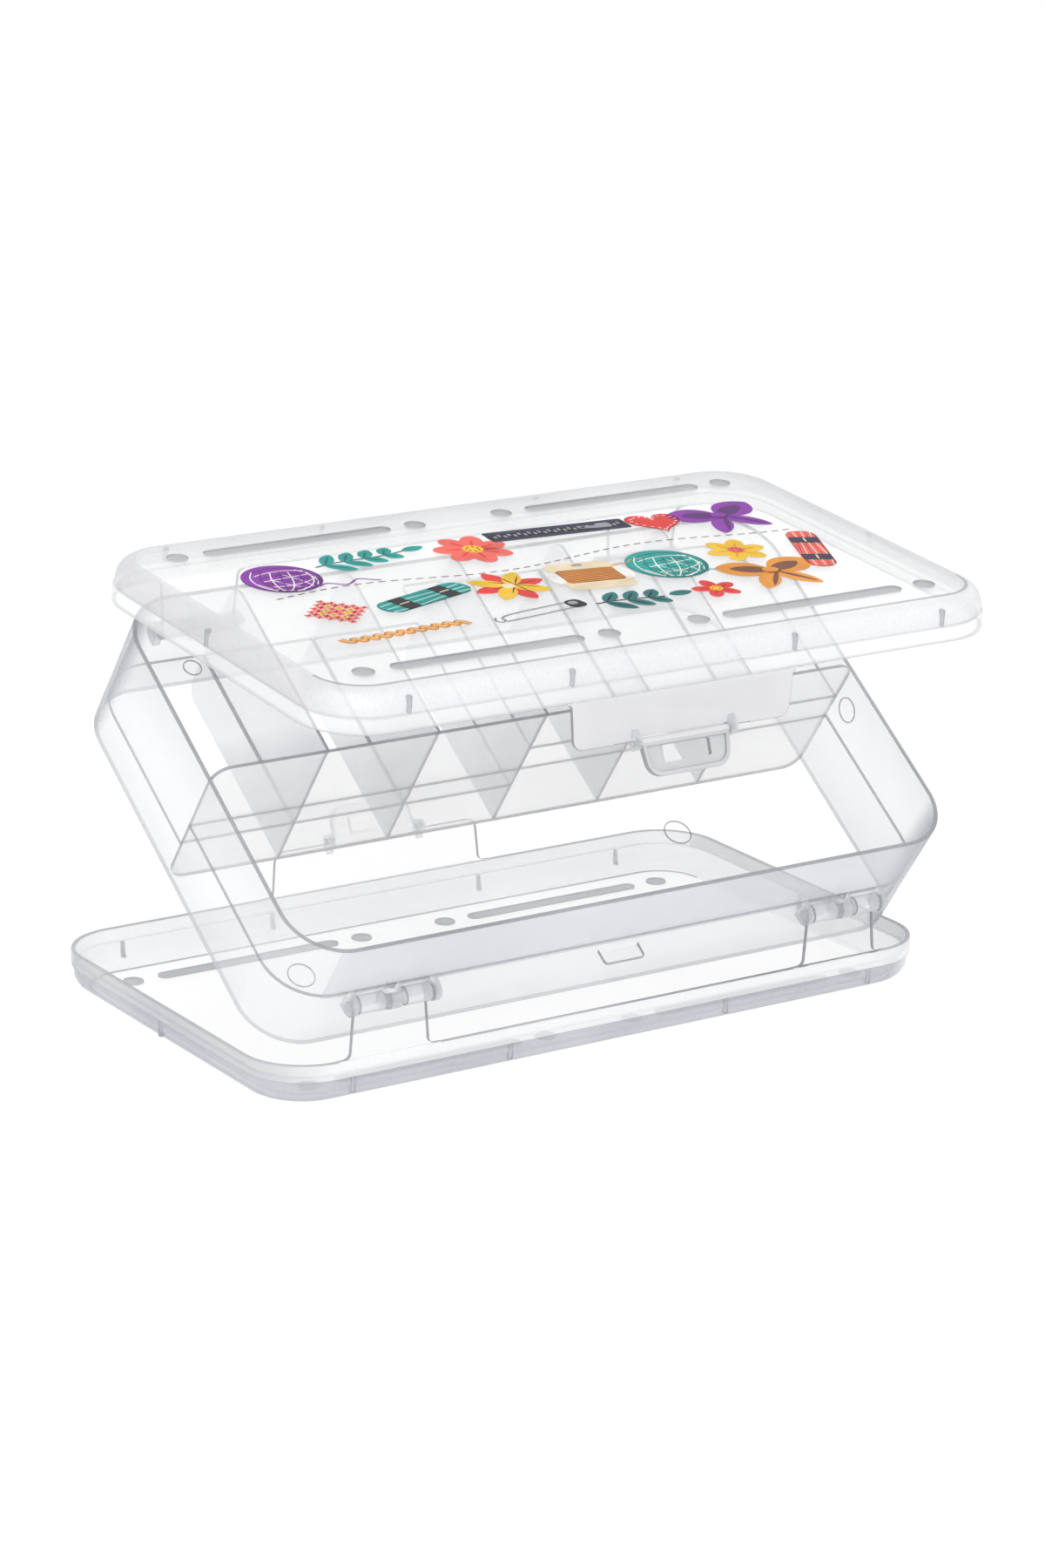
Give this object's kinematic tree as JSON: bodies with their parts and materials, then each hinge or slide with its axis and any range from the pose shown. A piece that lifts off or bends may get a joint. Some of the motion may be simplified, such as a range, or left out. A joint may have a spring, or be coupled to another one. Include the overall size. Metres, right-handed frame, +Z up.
{
  "type": "embroidery thread box",
  "caption": "Clear double-sided plastic thread box with tray lids hinged above and below a divided tray body, shown standing open.",
  "frame": {"origin": "middle of the bottom lid's flat underside, on the table", "axes": "+X along the box to the right, +Y to the back, +Z up"},
  "size_m": [0.25, 0.1908, 0.1506],
  "materials": {
    "clear_polypropylene": "clear, slightly milky injection-moulded polypropylene, glossy",
    "printed_film": "thin clear film with a printed pattern of yarn, flowers and ribbon"
  },
  "bodies": {
    "bottom_lid": {"bottom_lid": "clear_polypropylene", "bottom_lid_apron": "clear_polypropylene", "bottom_hinge_tab_left": "clear_polypropylene", "bottom_hinge_tab_right": "clear_polypropylene"},
    "bottom_clip": {"bottom_latch_clip": "clear_polypropylene"},
    "tray_body": {"body_wall": "clear_polypropylene", "partition": "clear_polypropylene", "front_floor": "clear_polypropylene", "column_floor_1": "clear_polypropylene", "column_floor_2": "clear_polypropylene", "column_floor_3": "clear_polypropylene", "column_floor_4": "clear_polypropylene", "column_floor_5": "clear_polypropylene", "column_floor_6": "clear_polypropylene", "divider_1": "clear_polypropylene", "divider_2": "clear_polypropylene", "divider_3": "clear_polypropylene", "divider_4": "clear_polypropylene", "divider_5": "clear_polypropylene", "front_hinge_ears_left": "clear_polypropylene", "front_hinge_ears_right": "clear_polypropylene", "back_hinge_ears_left": "clear_polypropylene", "back_hinge_ears_right": "clear_polypropylene", "front_catch": "clear_polypropylene", "back_catch": "clear_polypropylene"},
    "top_lid": {"top_lid": "clear_polypropylene", "top_lid_apron": "clear_polypropylene", "top_hinge_tab_left": "clear_polypropylene", "top_hinge_tab_right": "clear_polypropylene", "print_film": "printed_film"},
    "top_clip": {"top_latch_clip": "clear_polypropylene"}
  },
  "joints": [
    {"name": "body_hinge", "type": "hinge", "parent": "bottom_lid", "child": "tray_body", "pos_m": [0, -0.07525, 0.0312], "axis": [1, 0, 0], "range_deg": [-35.45, 144.55]},
    {"name": "top_lid_hinge", "type": "hinge", "parent": "tray_body", "child": "top_lid", "pos_m": [0, 0.04613, 0.1202], "axis": [-1, 0, 0], "range_deg": [-30.4, 149.6]},
    {"name": "bottom_clip_pivot", "type": "hinge", "parent": "bottom_lid", "child": "bottom_clip", "pos_m": [0, 0.07545, 0.0292], "axis": [-1, 0, 0], "range_deg": [-25, 85]},
    {"name": "top_clip_pivot", "type": "hinge", "parent": "top_lid", "child": "top_clip", "pos_m": [0, -0.10416, 0.10893], "axis": [-1, 0, 0], "range_deg": [-25, 85]}
  ]
}
